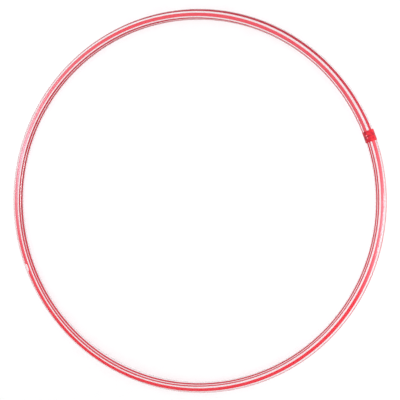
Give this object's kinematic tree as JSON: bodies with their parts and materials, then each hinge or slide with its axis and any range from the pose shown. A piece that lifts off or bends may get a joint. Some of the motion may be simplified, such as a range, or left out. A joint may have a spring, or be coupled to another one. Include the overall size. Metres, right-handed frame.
{
  "type": "rhythmic gymnastics hoop",
  "caption": "Rigid ring of clear plastic tube with red lengthwise colour lines, closed by a red taped joint over a hidden plug and staples.",
  "frame": {"origin": "centre of the hoop, in the middle of the tube's thickness", "axes": "+Z along the hoop's axis, upwards as it lies flat; +X and +Y in its plane, the joint at 19.5 degrees anticlockwise from +X"},
  "size_m": [0.65, 0.6499, 0.0188],
  "materials": {
    "clear_tube": "clear, glossy, fine scuffs",
    "red_line": "solid red colour line under clear plastic",
    "dark_red_line": "deeper red colour line under clear plastic",
    "natural_plug": "uncoloured plastic rod",
    "staple_wire": "galvanised wire",
    "red_tape": "stretched PVC tape, semi-gloss"
  },
  "bodies": {
    "root": {"clear_tube": "clear_tube", "wide_stripe": "red_line", "narrow_stripe": "dark_red_line", "fine_stripe_near": "red_line", "fine_stripe_far": "dark_red_line", "joint_plug": "natural_plug", "joint_staples": "staple_wire", "joint_tape": "red_tape"}
  },
  "joints": []
}
